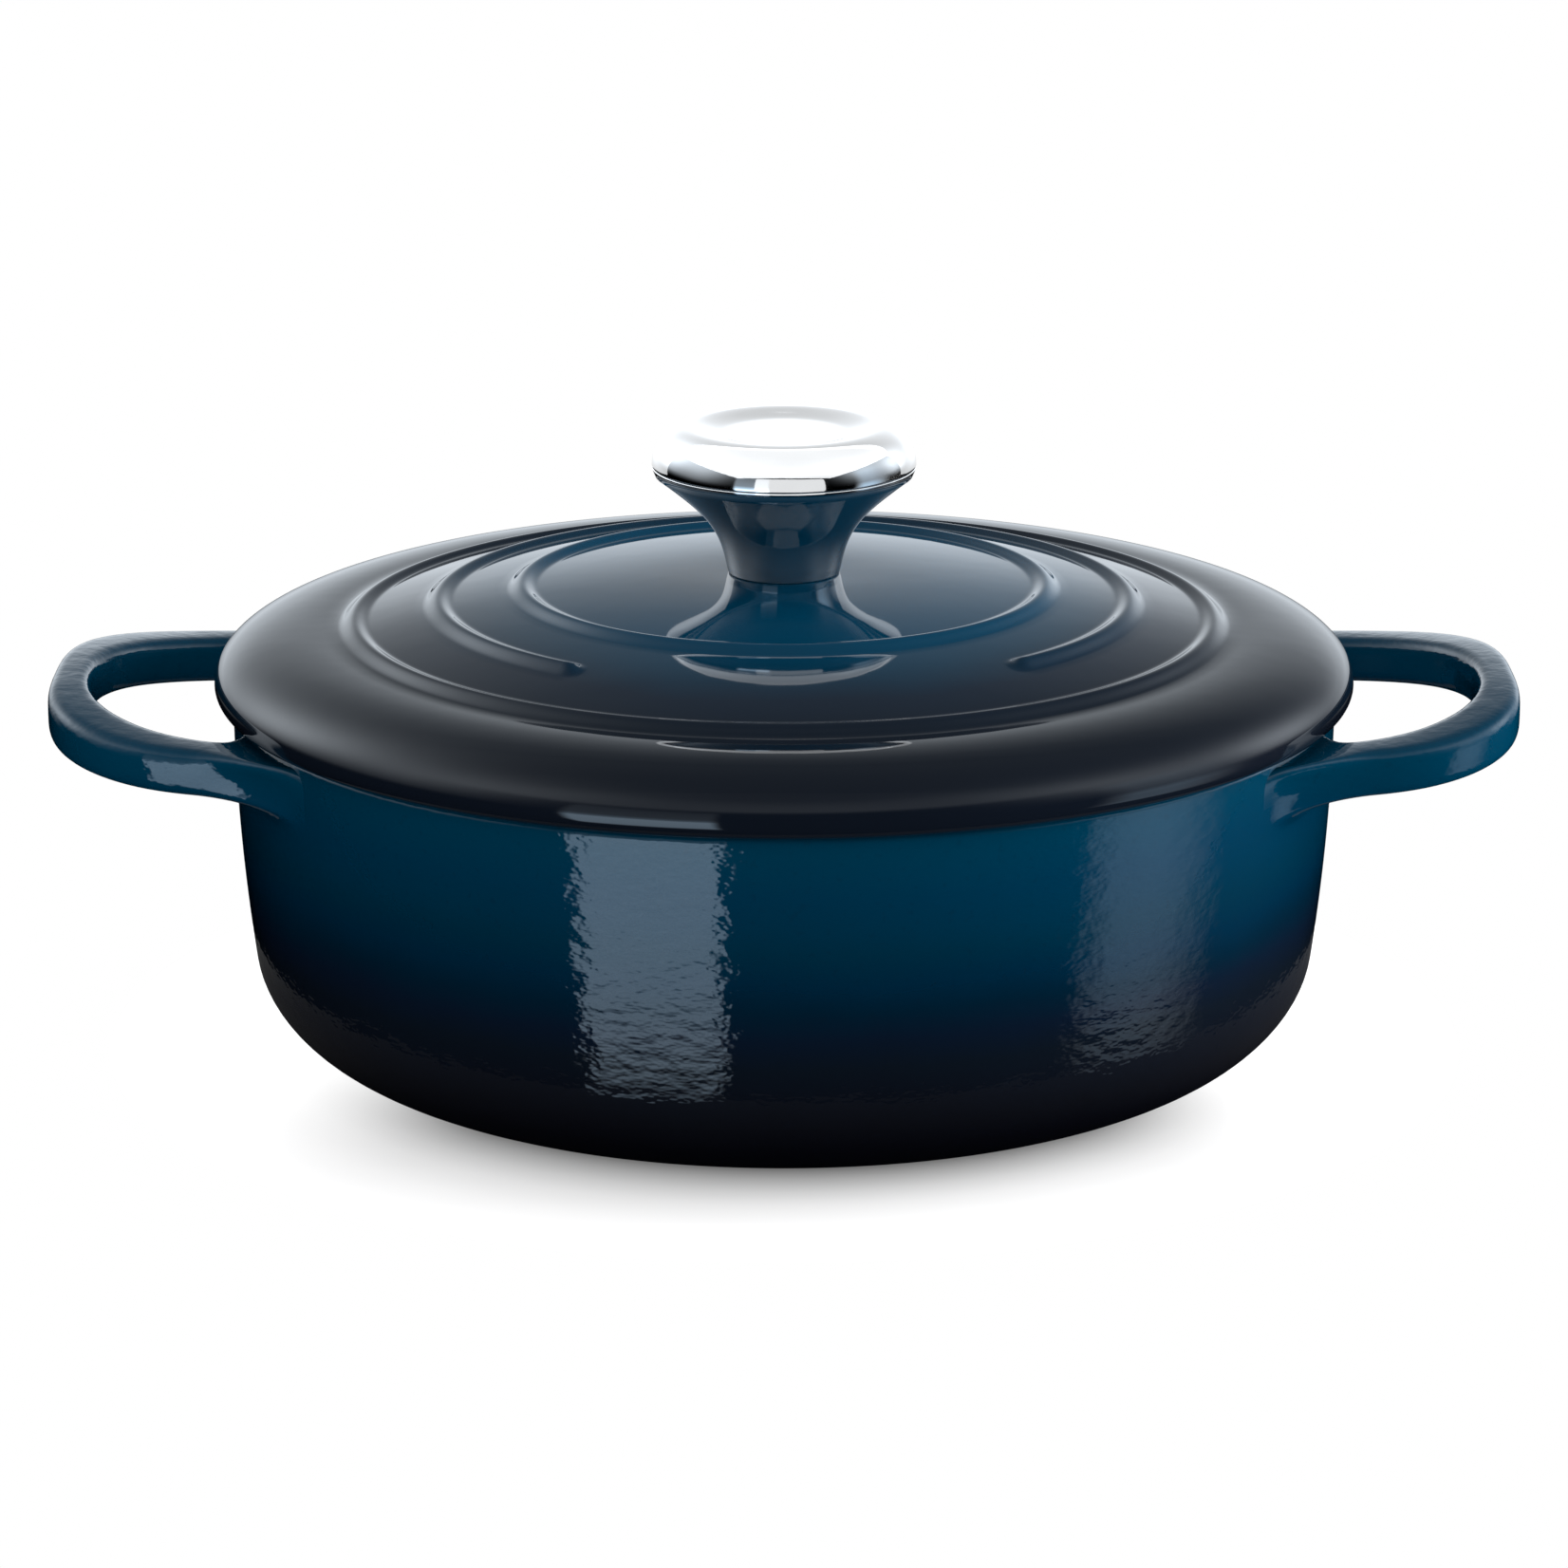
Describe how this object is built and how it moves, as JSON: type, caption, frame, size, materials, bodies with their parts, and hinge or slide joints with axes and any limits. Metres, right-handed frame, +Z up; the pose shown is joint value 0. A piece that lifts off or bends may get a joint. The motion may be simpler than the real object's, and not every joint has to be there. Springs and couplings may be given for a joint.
{
  "type": "dutch oven",
  "caption": "Low round enamelled cast iron pot with cast loop handles and a domed lid with raised rings and a flared steel knob.",
  "frame": {"origin": "on the table, under the centre of the pot", "axes": "+Z up, X through the two loop handles, -Y towards the front, where the lid's middle ring is left open"},
  "size_m": [0.322, 0.25, 0.1385],
  "materials": {
    "pot_enamel": "glossy vitreous enamel, deep teal at the rim fading to near-black navy at the base, sand-coloured inside",
    "lid_enamel": "glossy vitreous enamel, deep teal around the knob fading to near-black navy at the edge, sand-coloured underneath",
    "polished_steel": "polished stainless steel",
    "plated_steel": "bright zinc-plated steel"
  },
  "bodies": {
    "pot": {"pot": "pot_enamel"},
    "lid": {"lid": "lid_enamel", "knob_stem": "polished_steel", "knob_cap": "polished_steel", "knob_bush": "plated_steel", "knob_screw": "plated_steel", "flat_washer": "plated_steel", "lock_washer": "plated_steel"}
  },
  "joints": [
    {"name": "lid_lift", "type": "slide", "parent": "pot", "child": "lid", "axis": [0, 0, 1], "range_m": [0, 0.16]}
  ]
}
